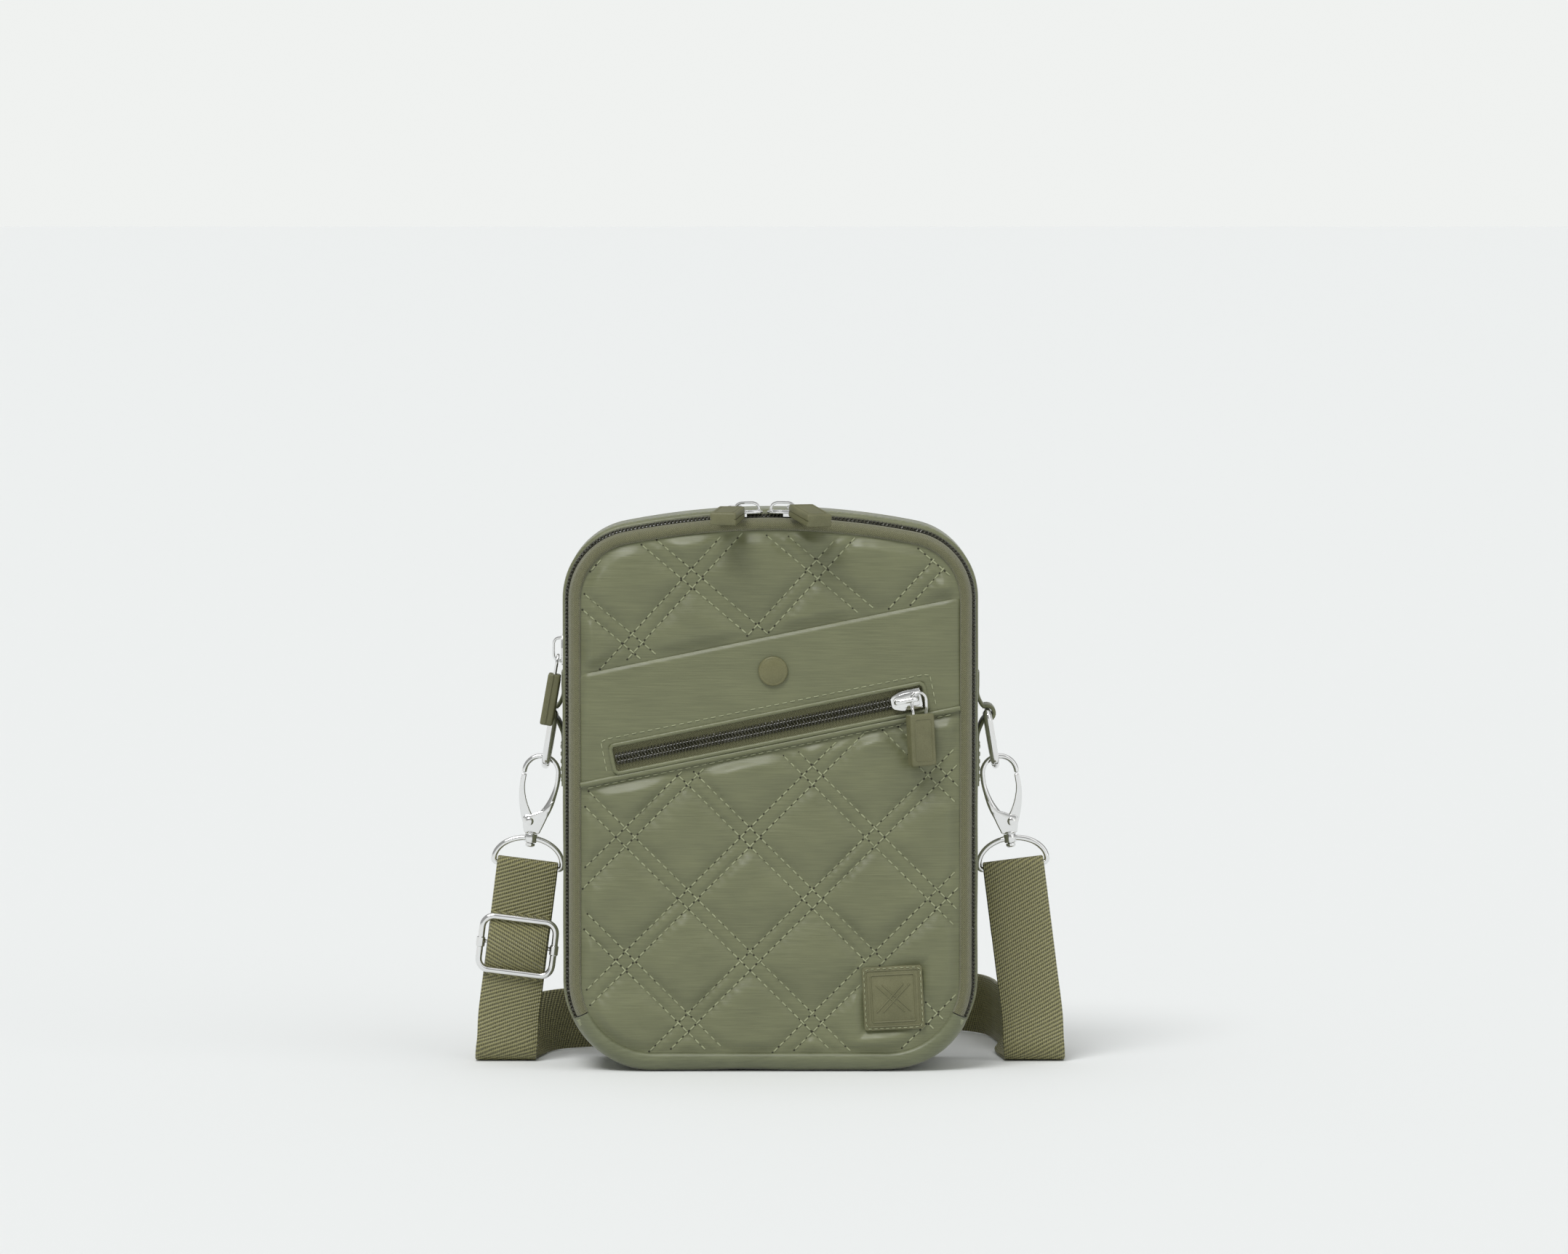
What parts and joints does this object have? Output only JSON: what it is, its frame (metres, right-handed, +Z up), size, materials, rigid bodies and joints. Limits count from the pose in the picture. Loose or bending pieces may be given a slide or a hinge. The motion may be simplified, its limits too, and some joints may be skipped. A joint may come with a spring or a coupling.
{
  "type": "crossbody purse",
  "caption": "Small quilted olive crossbody purse with a wrap-round zip, slanted front zip pocket, side zip, D-rings, snap hooks and webbing strap.",
  "frame": {"origin": "on the floor under the middle of the bag, without its strap", "axes": "+X towards the viewer's right when facing the quilted front, +Y from the front towards the back, +Z up"},
  "size_m": [0.2358, 0.191, 0.2252],
  "materials": {
    "satin_nylon": "satin woven nylon with fine streaks",
    "zip_tape": "herringbone woven tape",
    "zip_coil": "smooth nylon coil",
    "moulded_rubber": "matt",
    "webbing": "shiny ribbed webbing",
    "chrome": "polished",
    "lining_cloth": "plain woven"
  },
  "bodies": {
    "bag": {"main_zip_tape_body": "zip_tape", "main_zip_coil_body": "zip_coil", "bottom_binding": "satin_nylon", "front_gusset": "satin_nylon", "rear_gusset": "satin_nylon", "second_zip_tape": "zip_tape", "second_zip_coil": "zip_coil", "back_panel": "satin_nylon", "divider_panel": "lining_cloth", "d_ring_tab_left": "satin_nylon", "d_ring_tab_right": "satin_nylon", "strap_ring_left": "chrome", "strap_ring_right": "chrome", "strap_left_run": "webbing", "strap_right_run": "webbing", "strap_coil": "webbing"},
    "cover": {"upper_quilted_panel": "satin_nylon", "lower_quilted_panel": "satin_nylon", "pocket_band": "satin_nylon", "band_piping": "satin_nylon", "quilt_wadding": "lining_cloth", "cover_lining": "lining_cloth", "rubber_patch": "moulded_rubber", "snap_cap": "moulded_rubber", "snap_socket": "chrome", "snap_stud": "chrome", "front_zip_tape": "zip_tape", "front_zip_coil": "zip_coil", "main_zip_tape_cover": "zip_tape", "main_zip_coil_cover": "zip_coil"},
    "main_slider_left": {"main_slider_left": "chrome"},
    "main_slider_right": {"main_slider_right": "chrome"},
    "main_pull_left": {"main_puller_loop_left": "chrome", "main_pull_left": "moulded_rubber"},
    "main_pull_right": {"main_puller_loop_right": "chrome", "main_pull_right": "moulded_rubber"},
    "front_slider": {"front_slider": "chrome"},
    "front_pull": {"front_puller_loop": "chrome", "front_pull": "moulded_rubber"},
    "second_slider": {"second_slider": "chrome"},
    "second_pull": {"second_puller_loop": "chrome", "second_pull": "moulded_rubber"},
    "d_ring_left": {"d_ring_left": "chrome"},
    "d_ring_right": {"d_ring_right": "chrome"},
    "hook_left": {"hook_body_left": "chrome", "hook_rivet_left": "chrome"},
    "hook_right": {"hook_body_right": "chrome", "hook_rivet_right": "chrome"},
    "gate_left": {"hook_gate_left": "chrome"},
    "gate_right": {"hook_gate_right": "chrome"},
    "adjuster": {"adjuster_frame": "chrome", "adjuster_bar": "chrome"}
  },
  "joints": [
    {"name": "cover_hinge", "type": "hinge", "parent": "bag", "child": "cover", "pos_m": [0, -0.0195, 0.0075], "axis": [1, 0, 0], "range_deg": [0, 80]},
    {"name": "main_slide_left", "type": "hinge", "parent": "cover", "child": "main_slider_left", "pos_m": [0, -0.01285, -0.0766], "axis": [0, -1, 0], "range_deg": [0, 7.6]},
    {"name": "main_slide_right", "type": "hinge", "parent": "cover", "child": "main_slider_right", "pos_m": [0, -0.01285, -0.0766], "axis": [0, 1, 0], "range_deg": [0, 8.4]},
    {"name": "main_pull_swing_left", "type": "hinge", "parent": "main_slider_left", "child": "main_pull_left", "pos_m": [-0.01372, -0.01285, 0.22272], "axis": [-0.0785, 0.1735, -0.9817], "range_deg": [-8, 75]},
    {"name": "main_pull_swing_right", "type": "hinge", "parent": "main_slider_right", "child": "main_pull_right", "pos_m": [0.00949, -0.01285, 0.22288], "axis": [-0.078, -0.2094, 0.9747], "range_deg": [-12, 60]},
    {"name": "front_slide", "type": "slide", "parent": "cover", "child": "front_slider", "axis": [-0.9799, 0, -0.1994], "range_m": [0, 0.11]},
    {"name": "front_pull_swing", "type": "hinge", "parent": "front_slider", "child": "front_pull", "pos_m": [0.05806, -0.02285, 0.14801], "axis": [0, -1, 0], "range_deg": [-25, 95]},
    {"name": "second_slide", "type": "slide", "parent": "bag", "child": "second_slider", "axis": [0, 0, 1], "range_m": [-0.009, 0.019]},
    {"name": "second_pull_swing", "type": "hinge", "parent": "second_slider", "child": "second_pull", "pos_m": [-0.08405, 0.0011, 0.1637], "axis": [0, 1, 0], "range_deg": [-3, 150]},
    {"name": "d_ring_swing_left", "type": "hinge", "parent": "bag", "child": "d_ring_left", "pos_m": [-0.0862, 0.0206, 0.1398], "axis": [0, 1, 0], "range_deg": [0, 5]},
    {"name": "d_ring_swing_right", "type": "hinge", "parent": "bag", "child": "d_ring_right", "pos_m": [0.0862, 0.0206, 0.1398], "axis": [0, -1, 0], "range_deg": [0, 5]},
    {"name": "hook_swivel_left", "type": "hinge", "parent": "bag", "child": "hook_left", "pos_m": [-0.09229, 0.0206, 0.11551], "axis": [0.1253, 0, 0.9921], "range_deg": [-18, 18]},
    {"name": "hook_swivel_right", "type": "hinge", "parent": "bag", "child": "hook_right", "pos_m": [0.09229, 0.0206, 0.11551], "axis": [-0.1253, 0, 0.9921], "range_deg": [-18, 18]},
    {"name": "gate_left", "type": "hinge", "parent": "hook_left", "child": "gate_left", "pos_m": [-0.09604, 0.0206, 0.09623], "axis": [0, 1, 0], "range_deg": [0, 20], "stiffness_Nm_per_rad": 0.02, "springref_deg": -17.19},
    {"name": "gate_right", "type": "hinge", "parent": "hook_right", "child": "gate_right", "pos_m": [0.09604, 0.0206, 0.09623], "axis": [0, -1, 0], "range_deg": [0, 20], "stiffness_Nm_per_rad": 0.02, "springref_deg": -17.19},
    {"name": "adjuster_slide", "type": "slide", "parent": "bag", "child": "adjuster", "axis": [0.1253, 0, 0.9921], "range_m": [-0.02, 0.008]}
  ]
}
